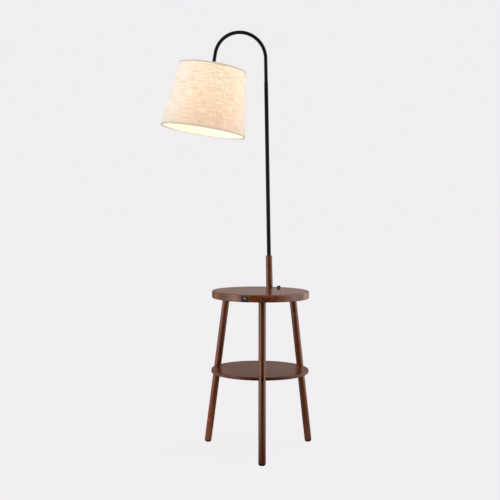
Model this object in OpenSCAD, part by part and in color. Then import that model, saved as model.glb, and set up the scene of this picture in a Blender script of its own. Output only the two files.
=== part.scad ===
// Floor lamp with a round two-tier table.
// Three splayed turned legs carry a thick tabletop and a thin shelf. A short wooden stem near
// the rear of the tabletop carries a slim black pole, whose upper part is a tube bent over in an
// arc. It hangs a tapered linen shade over the table and can be swung round on the pole.
// Frame: millimetres, +Z up, the front leg on -Y, the arm towards -X, and the origin on the
// floor below the tabletop's centre.

/* [Tabletop] */
// Diameter of the tabletop
top_d = 380; // [350:5:420]
// Height of the tabletop's upper face above the floor
top_h = 627; // [560:1:700]
// Thickness of the tabletop
top_t = 28; // [27:0.5:36]
// Radius of the tabletop's rounded edges
top_edge_r = 4; // [1:0.5:6]
// Wood left above the wiring pocket
pocket_web = 8; // [7:0.5:9]
// Radius of the wiring pocket's rounded corners
pocket_r = 20; // [18:0.5:21]
// Half width of the wiring channel that leads to the charging socket
channel_r = 8; // [5:0.5:10]
// Thickness of the cover under the wiring pocket
cover_t = 2.5; // [2:0.1:3.5]
// Width of the cover's rim around the pocket
cover_rim = 12; // [11:0.5:13]

/* [Shelf] */
// Diameter of the shelf
shelf_d = 382; // [374:1:395]
// Height of the shelf's upper face above the floor
shelf_h = 319; // [305:1:330]
// Thickness of the shelf
shelf_t = 12; // [11:0.5:18]
// Radius of the shelf's rounded edges
shelf_edge_r = 2; // [0.5:0.5:4]

/* [Legs] */
// Diameter of a leg
leg_d = 28; // [26:0.5:30]
// Distance of a leg's axis from the table's axis at floor level
leg_foot_r = 236.5; // [230:0.5:242]
// Lean of a leg from the vertical, in degrees
leg_splay = 8; // [7.6:0.1:8.6]
// Wood left above a leg's socket in the tabletop
socket_web = 8; // [6:0.5:8.5]
// Bevel at the upper end of a leg
leg_bevel = 1; // [0.5:0.5:2]
// Step from a leg's side in to its foot pad's side
pad_step = 0.4; // [0.2:0.1:2]
// Height of a foot pad along the leg
pad_h = 9; // [8:0.5:14]
// Radius of a foot pad's lower edge
pad_edge_r = 8.5; // [5:0.5:9]
// Depth by which a foot pad is pressed flat where it stands
pad_flat = 0.8; // [0.5:0.1:2]
// Diameter of the peg that holds a foot pad in its leg
peg_d = 8; // [5:0.5:10]
// Length of the peg
peg_l = 14; // [8:1:20]

/* [Bolts] */
// Thread diameter of the bolts through the tabletop's rim
top_bolt_d = 6; // [5:0.5:7]
// Diameter of their flat heads
top_head_d = 17; // [14:0.5:19]
// Width across flats of their hexagon sockets
top_hex = 5; // [4:0.5:6]
// Thickness of their flat heads
top_head_t = 2.2; // [1.8:0.1:3]
// Depth of the seat that a flat head lies in
top_head_seat = 1.2; // [0.8:0.1:1.8]
// Thread diameter of the bolts through the legs into the shelf
shelf_bolt_d = 5; // [4:0.5:5.5]
// Diameter of their cap heads
shelf_head_d = 8.5; // [8:0.1:10]
// Length of their cap heads
shelf_head_t = 5; // [4:0.5:6]
// Depth of the cap heads' outer faces below the leg's surface
shelf_head_sunk = 2; // [1:0.5:4]
// Outer diameter of the threaded inserts in the legs
leg_insert_d = 8.5; // [8.3:0.1:9.2]
// Outer diameter of the threaded inserts in the shelf
shelf_insert_d = 7.5; // [7:0.1:8.5]
// Length of a threaded insert
insert_l = 13; // [10:0.5:14]

/* [Charging socket] */
// Angle of the socket around the rim, from +X
usb_a = -110.7; // [-114:0.1:-108]
// Width of the socket's bezel
bezel_w = 28; // [24:0.5:32]
// Height of the socket's bezel
bezel_h = 19.5; // [17:0.5:20]
// Depth of the bezel behind the rim
bezel_depth = 16; // [13:0.5:18]
// Wall of the bezel
bezel_wall = 1.8; // [1.2:0.1:2.4]
// Distance that the bezel stands proud of the rim
bezel_proud = 0.4; // [0.2:0.1:1]
// Width of the metal port
port_w = 13.2; // [12.6:0.1:14]
// Height of the metal port
port_h = 5.8; // [5.4:0.1:6.4]
// Length of the metal port
port_l = 14; // [12:0.5:16]
// Sheet thickness of the metal port
port_wall = 0.4; // [0.3:0.05:0.6]
// Length of the circuit board
board_l = 34; // [28:1:36]
// Width of the circuit board
board_w = 22; // [18:0.5:24]
// Thickness of the circuit board
board_t = 1.6; // [1:0.2:2]

/* [Dimmer] */
// Distance of the dimmer knob's axis in from the tabletop's rim
knob_in = 40; // [38:0.5:43]
// Angle of the dimmer knob around the table's axis, from +X
knob_a = 58; // [56:0.5:60]
// Diameter of the knob
knob_d = 14; // [13.5:0.5:18]
// Height of the knob
knob_h = 7.5; // [6.5:0.5:12]
// Radius of the knob's upper edge
knob_edge_r = 1; // [0.4:0.2:1.6]
// Diameter of the dimmer's shaft
shaft_d = 6; // [4:0.5:6]
// Outer diameter of the dimmer's threaded neck
neck_d = 8; // [7.5:0.25:8.5]
// Width of the dimmer's case
dimmer_w = 20; // [16:0.5:22]
// Height of the dimmer's case
dimmer_h = 9; // [7:0.5:12]

/* [Pole] */
// Distance of the stem's axis in from the tabletop's rim
stem_in = 39; // [38:0.5:42]
// Angle of the stem around the table's axis, from +X
stem_a = 73.5; // [72:0.5:75.5]
// Lean of the pole towards the shade, in degrees
pole_lean = 1.4; // [0:0.1:2.5]
// Length of the wooden stem
stem_l = 130; // [90:1:180]
// Diameter of the stem at its foot
stem_foot_d = 27; // [24:0.5:32]
// Diameter of the stem at its top
stem_top_d = 25.5; // [20:0.5:30]
// Outer diameter of the threaded rod through the stem
rod_d = 10; // [8:0.5:10]
// Wire bore of the rod
rod_bore = 6.5; // [5:0.5:6.5]
// Outer diameter of the lower tube
tube_d = 16; // [15.5:0.5:20]
// Wall of the lower tube
tube_wall = 1.2; // [0.8:0.1:1.4]
// Distance along the pole from the tabletop to the lower tube's upper end
tube_top = 820; // [700:1:860]
// Length of the plug in the lower tube's foot
plug_l = 20; // [14:1:30]

/* [Arm] */
// Turn of the arm about the pole, in degrees: 0 points straight to the left
arm_turn = 7.5; // [-30:0.5:30]
// Outer diameter of the bent tube
arm_d = 14; // [13:0.5:15]
// Wall of the bent tube
arm_wall = 1; // [0.8:0.1:1.4]
// Distance along the pole from the tabletop to the start of the bend
arm_rise = 925; // [900:1:960]
// Radius of the bend, at the tube's axis
bend_r = 103; // [95:1:120]
// Angle that the tube bends through, in degrees
bend_a = 169.8; // [160:0.2:180]
// Length of the straight end after the bend
tail_l = 66; // [45:1:90]
// Diameter of the arm's turning pin
pin_d = 10; // [9:0.1:10.5]
// Length of the turning pin in its bush
pin_l = 38; // [25:1:60]
// Length of the turning pin's shank in the bent tube
shank_l = 30; // [20:1:45]
// Height of the tapered collar above the joint
collar_h = 14; // [10:0.5:20]
// Running clearance round the turning pin and the dimmer's shaft
run_gap = 0.05; // [0.02:0.01:0.09]

/* [Shade] */
// Outer diameter of the shade at its top
shade_top_d = 268; // [240:2:290]
// Outer diameter of the shade at its bottom
shade_bottom_d = 340; // [310:2:380]
// Height of the shade along its axis
shade_h = 258; // [220:1:300]
// Distance of the tube's end below the shade's upper rim
rim_drop = 9; // [4:1:16]
// Thickness of the linen
linen_t = 1; // [0.6:0.1:1.6]
// Thickness of the stiff liner
liner_t = 0.5; // [0.3:0.1:0.8]
// Diameter of the wire rings
wire_d = 3.2; // [2.4:0.2:4]
// Thickness of the edging tape
tape_t = 0.6; // [0.4:0.1:1]
// Height of the edging tape on the outside
tape_h = 7; // [5:0.5:12]
// Number of arms on the shade's carrier
carrier_arms = 3; // [3:1:4]

/* [Lamp holder and bulb] */
// Outer diameter of the lamp holder's skirt
holder_d = 39; // [36:0.5:41]
// Length of the lamp holder's cap
cap_l = 24; // [20:1:30]
// Length of the lamp holder's skirt
skirt_l = 38; // [34:1:44]
// Outer diameter of the holder's shoulder
shoulder_d = 46; // [44:0.5:50]
// Outer diameter of the ring nut that holds the shade
ring_nut_d = 56; // [52:0.5:64]
// Height of the ring nut
ring_nut_h = 9; // [6:0.5:14]
// Diameter of the bulb's globe
globe_d = 60; // [50:1:70]
// Length of the bulb below the lamp holder
bulb_l = 85; // [80:1:110]
// Diameter of the bulb's screw cap
bulb_cap_d = 26.5; // [26:0.1:27]

/* [Hidden] */
$fn = 96;
small_fn = 48;
leg_angles = [-90, 150, 30];
wood_gap = 0.15;
part_gap = 0.1;
flush_gap = 0.3;
far = 600;
// a straight run reaches weld into a bend, and differs from it by hair in diameter
weld = 0.5;
hair = 0.2;

top_under = top_h - top_t;
web_z = top_h - pocket_web;
cover_top = top_under + cover_t;
socket_l = (top_h - socket_web) / cos(leg_splay);
leg_l = socket_l - pad_h;
top_bolt_z = top_h - top_t / 2;
shelf_bolt_z = shelf_h - shelf_t / 2;

// wiring pocket: corners under the stem, the dimmer, the terminal block and the socket
stem_at = (top_d / 2 - stem_in) * [cos(stem_a), sin(stem_a)];
knob_at = (top_d / 2 - knob_in) * [cos(knob_a), sin(knob_a)];
board_r = top_d / 2 - 36;
board_at = board_r * [cos(usb_a), sin(usb_a)];
run = (board_at - stem_at) / norm(board_at - stem_at);
run_a = atan2(run[1], run[0]);
block_far = 50;
block_at = stem_at + block_far * run;
middle = (stem_at + knob_at + block_at) / 3;

// terminal block and leads
block_l = 22;
block_w = 17;
block_h = 15;
lead_d = 4;
lead_bend_r = 5;
thin_lead_d = 3;

// cover screws and cord gland
screw_d = 3;
screw_head_d = 6;
screw_l = 12;
screw_in = 6.5;
gland_d = 12;
gland_flange_d = 20;
gland_bore = 7;
gland_nose_l = 12;

// nut, washer and rod below the stem
washer_d = 24;
washer_t = 1.5;
rod_nut_af = 17;
rod_nut_t = 5;
rod_tip = 1;
seat_depth = (washer_d / 2 + 1) * tan(pole_lean) + 0.1;
seat_s = seat_depth - pocket_web;
rod_foot = seat_s - washer_t - rod_nut_t - rod_tip;
rod_grip = plug_l - 4;

// joint between the lower tube and the bent tube
tube_in = tube_d - 2 * tube_wall;
arm_in = arm_d - 2 * arm_wall;
flange_t = 1.5;
turn_gap = 0.1;
joint_s = tube_top + flange_t;
arm_foot = joint_s + turn_gap;
bush_l = pin_l + 2;
pin_bore = 6;
collar_lip = 0.3;

// shade, measured down from the rim of the linen
shade_slope = (shade_bottom_d - shade_top_d) / 2 / shade_h;
skin_gap = 0.05;
tape_in_h = wire_d + 1.5;
stack_t = linen_t + skin_gap + liner_t + wire_d + 2 * skin_gap;
ring_down = wire_d / 2 + skin_gap;
arm_wire_d = wire_d - 0.4;
bottom_ring_down = shade_h - ring_down;
carrier_t = 1.6;
carrier_z = -cap_l - 4;
shoulder_t = 2;
carrier_in_d = holder_d + 1.2;
carrier_out_d = shoulder_d + 6;
nipple_l = 10;
nipple_in = 15;
nipple_bore = 6;
nipple_d = 10;
holder_wall = 2;
thread_shell_d = bulb_cap_d + 2 * part_gap;
thread_shell_t = 0.5;
bulb_seat = 4;

function leg_r(z) = leg_foot_r - z * tan(leg_splay);
function shade_r(down) = shade_top_d / 2 + shade_slope * down;
function hex_d(af) = af / cos(30);
function polar(r, a) = r * [cos(a), sin(a)];
function away(p, q) = (p - q) / norm(p - q);

// ---------- frames ----------

// +Z runs up along a leg from the floor, +X away from the table's axis
module at_leg(a) {
    rotate([0, 0, a]) translate([leg_foot_r, 0, 0]) rotate([0, -leg_splay, 0]) children();
}

// +Z points away from the table's axis, at a height and a distance
module radial(a, r, z) {
    rotate([0, 0, a]) translate([r, 0, z]) rotate([0, 90, 0]) children();
}

// +Z runs up along the pole from the tabletop's face
module at_pole() {
    translate([stem_at[0], stem_at[1], top_h]) rotate([0, -pole_lean, 0]) children();
}

// the same, turned with the arm, which reaches out along -X
module at_arm() {
    at_pole() rotate(arm_turn) children();
}

// +Z runs on along the bent tube from the end of the bend
module at_bend_end() {
    at_arm() translate([-bend_r, 0, arm_rise]) rotate([0, -bend_a, 0])
        translate([bend_r, 0, 0]) children();
}

// +Z runs up along the shade's axis from the tube's lower end
module at_head() {
    at_bend_end() translate([0, 0, tail_l]) rotate([180, 0, 0]) children();
}

// the same, from the centre of the linen's upper rim
module at_rim() {
    at_head() translate([0, 0, rim_drop]) children();
}

// ---------- shapes ----------

module rounded_disc(d, t, e) {
    rotate_extrude() {
        square([d / 2 - e, t]);
        translate([0, e]) square([d / 2, t - 2 * e]);
        for (z = [e, t - e]) translate([d / 2 - e, z]) circle(e, $fn = small_fn);
    }
}

// a pipe along +Z from z0 to z1
module pipe(d, bore, z0, z1) {
    difference() {
        translate([0, 0, z0]) cylinder(d = d, h = z1 - z0);
        translate([0, 0, z0 - 1]) cylinder(d = bore, h = z1 - z0 + 2);
    }
}

// a ring of round wire, down below the shade's upper rim
module wire_ring(down) {
    r = shade_r(down) - stack_t + wire_d / 2 + skin_gap;
    translate([0, 0, -down]) rotate_extrude() translate([r, 0]) circle(d = wire_d, $fn = 36);
}

// a flat strip with round ends from p to q, straight a little inside the ends' tangents
module strip(p, q, r) {
    d = q - p;
    half = r - part_gap;
    translate(p) circle(r);
    translate(q) circle(r);
    translate(p) rotate(atan2(d[1], d[0])) translate([0, -half]) square([norm(d), 2 * half]);
}

// outline of the wiring pocket, grown by g
module pocket_outline(g) {
    strip(stem_at, knob_at, pocket_r + g);
    strip(knob_at, block_at, pocket_r + g);
    strip(block_at, stem_at, pocket_r + g);
    polygon([stem_at, knob_at, block_at]);
    strip(block_at, board_at, channel_r + g);
    translate(board_at) circle(pocket_r + g);
}

// outline of the cover under the pocket, grown by g; it reaches out to the rim under the bezel
module cover_outline(g) {
    intersection() {
        union() {
            pocket_outline(cover_rim + g);
            rotate(usb_a) translate([board_r, -bezel_w / 2 - g]) square([top_d, bezel_w + 2 * g]);
        }
        circle(d = top_d - 2 * flush_gap + 2 * g, $fn = 192);
    }
}

// a straight lead from p towards q, on past each by p_in and q_in
module lead(p, q, p_in, q_in, z, d) {
    v = q - p;
    translate([p[0], p[1], z]) rotate([0, 0, atan2(v[1], v[0])]) rotate([0, 90, 0])
        translate([0, 0, -p_in]) cylinder(d = d, h = norm(v) + p_in + q_in, $fn = small_fn);
}

module hex_socket(af, depth) {
    translate([0, 0, -depth]) cylinder(d = hex_d(af), h = depth + 1, $fn = 6);
}

// ---------- table ----------

module tabletop() {
    color("#5a3a2a") difference() {
        translate([0, 0, top_under]) rounded_disc(top_d, top_t, top_edge_r);
        for (a = leg_angles) {
            leg_socket(a);
            radial(a, leg_r(top_bolt_z), top_bolt_z) cylinder(d = top_bolt_d + 0.6, h = far);
            radial(a, top_d / 2 - top_head_seat, top_bolt_z) cylinder(d = top_head_d + 0.6, h = far);
        }
        translate([0, 0, top_under - 1]) linear_extrude(web_z - top_under + 1) {
            pocket_outline(0);
            rotate(usb_a) translate([board_r, -board_w / 2 - 1])
                square([top_d / 2 - bezel_depth - board_r, board_w + 2]);
        }
        translate([0, 0, top_under - 1]) linear_extrude(cover_t + 1) cover_outline(flush_gap);
        bezel_notch();
        at_pole() translate([0, 0, -pocket_web - 1]) cylinder(d = rod_d + 0.4, h = pocket_web + 3);
        at_pole() translate([0, 0, seat_s - 3]) cylinder(d = washer_d + 1, h = 3);
        translate([knob_at[0], knob_at[1], web_z - 1])
            cylinder(d = neck_d + 0.2, h = pocket_web + 2, $fn = small_fn);
        for (p = screw_places) translate([p[0], p[1], cover_top - 1])
            cylinder(d = screw_d, h = screw_l - cover_t + 1.5, $fn = 24);
    }
}

module leg_socket(a) {
    at_leg(a) translate([0, 0, socket_l - far]) cylinder(d = leg_d + 2 * wood_gap, h = far);
}

module bezel_notch() {
    side = bezel_w + 2 * part_gap;
    rotate([0, 0, usb_a])
        translate([top_d / 2 - bezel_depth - part_gap, -side / 2, top_under - 1])
        cube([bezel_depth * 2, side, cover_t + bezel_h + part_gap + 1]);
}

module shelf() {
    color("#5a3a2a") difference() {
        translate([0, 0, shelf_h - shelf_t]) rounded_disc(shelf_d, shelf_t, shelf_edge_r);
        for (a = leg_angles) {
            at_leg(a) cylinder(d = leg_d + 2 * wood_gap, h = socket_l);
            radial(a, shelf_insert_r - insert_l, shelf_bolt_z)
                cylinder(d = shelf_insert_d, h = far, $fn = small_fn);
        }
    }
}

module leg(a) {
    r = leg_d / 2;
    color("#4e2f20") difference() {
        at_leg(a) translate([0, 0, pad_h]) rotate_extrude() polygon([
            [0, 0], [r - pad_step, 0], [r, pad_step],
            [r, leg_l - leg_bevel], [r - leg_bevel, leg_l], [0, leg_l]
        ]);
        at_leg(a) translate([0, 0, pad_h - 1]) cylinder(d = peg_d + 2 * part_gap, h = peg_l + 2);
        radial(a, leg_insert_r - insert_l, top_bolt_z)
            cylinder(d = leg_insert_d, h = far, $fn = small_fn);
        radial(a, leg_r(shelf_bolt_z) - leg_d, shelf_bolt_z)
            cylinder(d = shelf_bolt_d + 0.5, h = 2 * leg_d, $fn = small_fn);
        radial(a, shelf_seat_r, shelf_bolt_z)
            cylinder(d = shelf_head_d + 0.5, h = leg_d, $fn = small_fn);
    }
}

module leg_front() leg(leg_angles[0]);
module leg_left() leg(leg_angles[1]);
module leg_right() leg(leg_angles[2]);

// rubber pad with a peg in the leg's end, worn flat where it stands
module foot(a) {
    r = leg_d / 2 - pad_step;
    e = pad_edge_r;
    low = -pad_flat;
    seat = pad_h - part_gap;
    color("#1c1a19") intersection() {
        at_leg(a) union() {
            rotate_extrude() {
                translate([0, low]) square([r - e, seat - low]);
                translate([0, low + e]) square([r, seat - low - e]);
                intersection() {
                    translate([r - e, low + e]) circle(e, $fn = small_fn);
                    translate([0, low]) square([r, seat - low]);
                }
            }
            translate([0, 0, pad_h - 1]) cylinder(d = peg_d, h = peg_l + 1, $fn = small_fn);
        }
        translate([-far, -far, 0]) cube([2 * far, 2 * far, far]);
    }
}

module foot_front() foot(leg_angles[0]);
module foot_left() foot(leg_angles[1]);
module foot_right() foot(leg_angles[2]);

// ---------- bolts ----------

leg_insert_r = leg_r(top_bolt_z) + leg_d / 2 - 5;
shelf_insert_r = leg_r(shelf_bolt_z) - leg_d / 2 / cos(leg_splay) - 2;
shelf_seat_r = leg_r(shelf_bolt_z) + leg_d / 2 - shelf_head_sunk - shelf_head_t;

module top_bolts() {
    head_r = top_d / 2 - top_head_seat;
    dome = 0.8;
    color("#6b5140") for (a = leg_angles) difference() {
        union() {
            radial(a, head_r, top_bolt_z) {
                cylinder(d = top_head_d, h = top_head_t - dome);
                translate([0, 0, top_head_t - dome])
                    cylinder(d1 = top_head_d, d2 = top_head_d - 4 * dome, h = dome);
            }
            radial(a, leg_insert_r - insert_l + 1, top_bolt_z)
                cylinder(d = top_bolt_d, h = head_r - leg_insert_r + insert_l, $fn = small_fn);
        }
        radial(a, head_r + top_head_t, top_bolt_z) hex_socket(top_hex, top_head_t - 0.2);
    }
}

module insert_sleeve(a, r_out, z, d, thread) {
    radial(a, r_out - insert_l, z) difference() {
        cylinder(d = d - 2 * skin_gap, h = insert_l, $fn = small_fn);
        translate([0, 0, -1]) cylinder(d = thread + 2 * skin_gap, h = insert_l + 2, $fn = small_fn);
    }
}

module leg_inserts() {
    color("#b08d4f") for (a = leg_angles)
        insert_sleeve(a, leg_insert_r, top_bolt_z, leg_insert_d, top_bolt_d);
}

module shelf_bolts() {
    color("#6b5140") for (a = leg_angles) difference() {
        union() {
            radial(a, shelf_seat_r, shelf_bolt_z)
                cylinder(d = shelf_head_d, h = shelf_head_t, $fn = small_fn);
            radial(a, shelf_insert_r - insert_l + 1, shelf_bolt_z) cylinder(
                d = shelf_bolt_d, h = shelf_seat_r - shelf_insert_r + insert_l, $fn = small_fn);
        }
        radial(a, shelf_seat_r + shelf_head_t, shelf_bolt_z) hex_socket(4, 3);
    }
}

module shelf_inserts() {
    color("#b08d4f") for (a = leg_angles)
        insert_sleeve(a, shelf_insert_r, shelf_bolt_z, shelf_insert_d, shelf_bolt_d);
}

// ---------- cover and wiring ----------

// screws in the wood at the three corners, beside the channel and beside the socket
side_on = [-run[1], run[0]];
screw_places = [
    stem_at + (pocket_r + screw_in) * away(stem_at, middle),
    knob_at + (pocket_r + screw_in) * away(knob_at, middle),
    (block_at + board_at) / 2 + (channel_r + screw_in) * side_on,
    (block_at + board_at) / 2 - (channel_r + screw_in) * side_on,
    board_at + polar(pocket_r + screw_in, usb_a + 110),
    board_at + polar(pocket_r + screw_in, usb_a - 110)
];

module bottom_cover() {
    color("#232120") difference() {
        translate([0, 0, top_under]) linear_extrude(cover_t) cover_outline(0);
        for (p = screw_places) translate([p[0], p[1], top_under]) {
            translate([0, 0, -1]) cylinder(d = screw_d + 0.4, h = cover_t + 2, $fn = 24);
            translate([0, 0, -0.01]) cylinder(
                d1 = screw_head_d + 0.4, d2 = screw_d + 0.4,
                h = (screw_head_d - screw_d) / 2, $fn = small_fn);
        }
        translate([middle[0], middle[1], top_under - 1])
            cylinder(d = gland_d + 0.2, h = cover_t + 2, $fn = small_fn);
    }
}

module cover_screws() {
    head_t = (screw_head_d - screw_d) / 2;
    color("#8f8d8a") for (p = screw_places) translate([p[0], p[1], top_under]) difference() {
        union() {
            cylinder(d1 = screw_head_d, d2 = screw_d - 0.1, h = head_t, $fn = small_fn);
            translate([0, 0, head_t - 0.01]) cylinder(d = screw_d - 0.1, h = screw_l - head_t, $fn = 24);
        }
        for (t = [0, 90]) rotate(t) translate([-1.5, -0.3, -1]) cube([3, 0.6, 2]);
    }
}

// bushed inlet for a mains lead, held by a collar above the cover
module cord_gland() {
    color("#1c1a19") translate([middle[0], middle[1], 0]) difference() {
        union() {
            translate([0, 0, top_under - 2]) cylinder(d = gland_flange_d, h = 2);
            translate([0, 0, top_under - 2]) cylinder(d = gland_d, h = cover_t + 4, $fn = small_fn);
            translate([0, 0, cover_top + 0.05]) cylinder(d = gland_d + 3, h = 2, $fn = small_fn);
            translate([0, 0, top_under - 2 - gland_nose_l])
                cylinder(d1 = gland_d - 2, d2 = gland_d + 2, h = gland_nose_l, $fn = small_fn);
        }
        translate([0, 0, top_under - 3 - gland_nose_l])
            cylinder(d = gland_bore, h = gland_nose_l + cover_t + 8, $fn = small_fn);
    }
}

// screw terminals for the leads, under the web of the pocket
module terminal_block() {
    ways = 3;
    pitch = block_l / ways;
    color("#d8d2c4") difference() {
        block_body();
        at_block() for (i = [0 : ways - 1], s = [-1, 1])
            translate([(i - 1) * pitch, s * block_w / 4, -1]) cylinder(d = 4, h = 6, $fn = 24);
    }
}

// +X runs along the channel, from the underside of the block's middle
module at_block() {
    translate([block_at[0], block_at[1], web_z - block_h]) rotate(run_a) children();
}

module block_body() {
    at_block() translate([-block_l / 2, -block_w / 2, 0]) cube([block_l, block_w, block_h]);
}

// two-core lead from the terminal block up through the pole to the swivel
module lead_lower() {
    s0 = rod_foot - lead_bend_r;
    color("#e6e2da") at_pole() {
        translate([0, 0, rod_foot - weld])
            cylinder(d = lead_d, h = joint_s - 1 - rod_foot + weld, $fn = small_fn);
        rotate([0, 0, run_a]) {
            translate([lead_bend_r, 0, rod_foot]) rotate([90, 0, 180])
                rotate_extrude(angle = -90) translate([lead_bend_r, 0])
                circle(d = lead_d + hair, $fn = small_fn);
            translate([lead_bend_r - weld, 0, s0]) rotate([0, 90, 0]) cylinder(
                d = lead_d, h = block_far - block_l / 2 - lead_bend_r + weld, $fn = small_fn);
        }
    }
}

// ---------- charging socket ----------

port_z = cover_top + bezel_h / 2 + 1;
port_front = top_d / 2 - 0.3;
port_back = port_front - port_l;
board_top = port_z - port_h / 2;
board_front = top_d / 2 - 2 - bezel_wall;
converter_l = 16;
converter_w = 16;
converter_h = 8.5;
converter_back = port_back - 3 - converter_l;

module usb_bezel() {
    front = top_d / 2 + bezel_proud;
    back = top_d / 2 - bezel_depth;
    wall = bezel_wall;
    rail = 3;
    color("#161516") rotate([0, 0, usb_a]) difference() {
        intersection() {
            translate([back, -bezel_w / 2, cover_top]) cube([far, bezel_w, bezel_h]);
            cylinder(r = front, h = top_h, $fn = 192);
        }
        difference() {
            translate([back - 1, -bezel_w / 2 + wall, cover_top + wall])
                cube([bezel_depth - wall, bezel_w - 2 * wall, bezel_h - 2 * wall]);
            for (s = [-1, 1])
                translate([back - 2, s * (board_w / 2 - rail / 2) - rail / 2, cover_top])
                    cube([bezel_depth, rail, board_top - board_t - cover_top]);
        }
        translate([back, -port_w / 2 - part_gap, port_z - port_h / 2 - part_gap])
            cube([far, port_w + 2 * part_gap, port_h + 2 * part_gap]);
    }
}

module usb_port() {
    color("#b9b9ba") rotate([0, 0, usb_a]) difference() {
        translate([port_back, -port_w / 2, port_z - port_h / 2]) cube([port_l, port_w, port_h]);
        translate([port_back - 1, -port_w / 2 + port_wall, port_z - port_h / 2 + port_wall])
            cube([port_l + 2, port_w - 2 * port_wall, port_h - 2 * port_wall]);
    }
}

module usb_tongue() {
    w = port_w - 2 * port_wall;
    h = port_h - 2 * port_wall;
    base = 3.5;
    tip = 1.2;
    color("#ece8e0") rotate([0, 0, usb_a]) {
        translate([port_back, -w / 2, port_z - h / 2]) cube([base, w, h]);
        translate([port_back + base, -w / 2 + 0.6, port_z + 0.2])
            cube([port_l - base - tip, w - 1.2, 1.9]);
    }
}

module usb_board() {
    color("#2f6b45") rotate([0, 0, usb_a])
        translate([board_front - board_l, -board_w / 2, board_top - board_t])
        cube([board_l, board_w, board_t]);
}

// potted supply that turns the mains voltage into the socket's
module usb_converter() {
    color("#26272b") converter_body();
}

module converter_body() {
    rotate([0, 0, usb_a]) translate([converter_back, -converter_w / 2, board_top])
        cube([converter_l, converter_w, converter_h]);
}

module usb_lead() {
    z = board_top + converter_h / 2;
    color("#e6e2da") difference() {
        lead(block_at, polar(converter_back, usb_a), 0, 1, z, thin_lead_d);
        block_body();
        converter_body();
    }
}

// ---------- dimmer ----------

neck_top = 2;
dimmer_nut_t = 1.6;
shaft_in = 12;
knob_lift = 0.4;
knob_roof = 3;

module dimmer_body() {
    towards = knob_at - block_at;
    color("#2b2b2d") translate([knob_at[0], knob_at[1], 0])
        rotate(atan2(towards[1], towards[0])) difference() {
        union() {
            translate([-dimmer_w / 2, -dimmer_w / 2, web_z - dimmer_h])
                cube([dimmer_w, dimmer_w, dimmer_h]);
            translate([0, 0, web_z - 1])
                cylinder(d = neck_d, h = pocket_web + neck_top + 1, $fn = small_fn);
        }
        translate([0, 0, top_h + neck_top - shaft_in])
            cylinder(d = shaft_d + 2 * run_gap, h = far, $fn = small_fn);
    }
}

module dimmer_nut() {
    color("#8f8d8a") translate([knob_at[0], knob_at[1], top_h]) difference() {
        cylinder(d = neck_d + 2.4, h = dimmer_nut_t, $fn = small_fn);
        translate([0, 0, -1]) cylinder(d = neck_d + 2 * skin_gap, h = dimmer_nut_t + 2, $fn = small_fn);
    }
}

module dimmer_shaft() {
    foot = neck_top - shaft_in + flush_gap;
    color("#b9b9ba") translate([knob_at[0], knob_at[1], top_h + foot])
        cylinder(d = shaft_d, h = knob_lift + knob_h - 1 - foot, $fn = small_fn);
}

module dimmer_knob() {
    flutes = 18;
    color("#161516") translate([knob_at[0], knob_at[1], top_h + knob_lift]) difference() {
        rotate_extrude() {
            square([knob_d / 2 - knob_edge_r, knob_h]);
            square([knob_d / 2, knob_h - knob_edge_r]);
            translate([knob_d / 2 - knob_edge_r, knob_h - knob_edge_r])
                circle(knob_edge_r, $fn = small_fn);
        }
        translate([0, 0, -1])
            cylinder(d = neck_d + 2.4 + 2 * flush_gap, h = knob_h - knob_roof + 1, $fn = small_fn);
        translate([0, 0, -1]) cylinder(d = shaft_d + 2 * skin_gap, h = knob_h - 1 + 1, $fn = small_fn);
        for (i = [0 : flutes - 1]) rotate(i * 360 / flutes)
            translate([knob_d / 2 + 0.35, 0, 1]) cylinder(d = 1.2, h = knob_h, $fn = 24);
        translate([knob_d / 2 - 4, -0.4, knob_h - 0.4]) cube([5, 0.8, 1]);
    }
}

module dimmer_lead() {
    color("#e6e2da") difference() {
        lead(block_at, knob_at, 0, -dimmer_w / 2, web_z - dimmer_h / 2, thin_lead_d);
        block_body();
    }
}

// ---------- pole ----------

module stem() {
    lip = 1.2;
    color("#4e2f20") difference() {
        at_pole() {
            translate([0, 0, -2]) cylinder(d = stem_foot_d, h = 2);
            cylinder(d1 = stem_foot_d, d2 = stem_top_d, h = stem_l - lip);
            translate([0, 0, stem_l - lip])
                cylinder(d1 = stem_top_d, d2 = stem_top_d - 2 * lip, h = lip);
        }
        at_pole() translate([0, 0, -5]) cylinder(d = rod_d + 2 * part_gap, h = stem_l + 10);
        translate([stem_at[0] - 50, stem_at[1] - 50, top_h - 20]) cube([100, 100, 20]);
    }
}

module stem_rod() {
    color("#a9a7a3") at_pole() pipe(rod_d, rod_bore, rod_foot, stem_l + rod_grip);
}

module rod_nut() {
    color("#a9a7a3") at_pole() translate([0, 0, seat_s - washer_t - rod_nut_t]) difference() {
        cylinder(d = hex_d(rod_nut_af), h = rod_nut_t, $fn = 6);
        translate([0, 0, -1]) cylinder(d = rod_d + 2 * skin_gap, h = rod_nut_t + 2);
    }
}

module rod_washer() {
    color("#a9a7a3") at_pole() pipe(washer_d, rod_d + 0.4, seat_s - washer_t, seat_s);
}

module lower_tube() {
    color("#1b191a") at_pole() pipe(tube_d, tube_in, stem_l, tube_top);
}

module tube_plug() {
    color("#8f8d8a") at_pole()
        pipe(tube_in - 2 * skin_gap, rod_d + 2 * skin_gap, stem_l, stem_l + plug_l);
}

// nylon bush that the arm turns in, with a thrust flange on the tube's end
module swivel_bush() {
    color("#3a3a3c") at_pole() difference() {
        union() {
            translate([0, 0, tube_top]) cylinder(d = tube_d, h = flange_t);
            translate([0, 0, tube_top - bush_l])
                cylinder(d = tube_in - 2 * skin_gap, h = bush_l + 1);
        }
        translate([0, 0, tube_top - bush_l - 1])
            cylinder(d = pin_d + 2 * run_gap, h = bush_l + flange_t + 2);
    }
}

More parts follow.
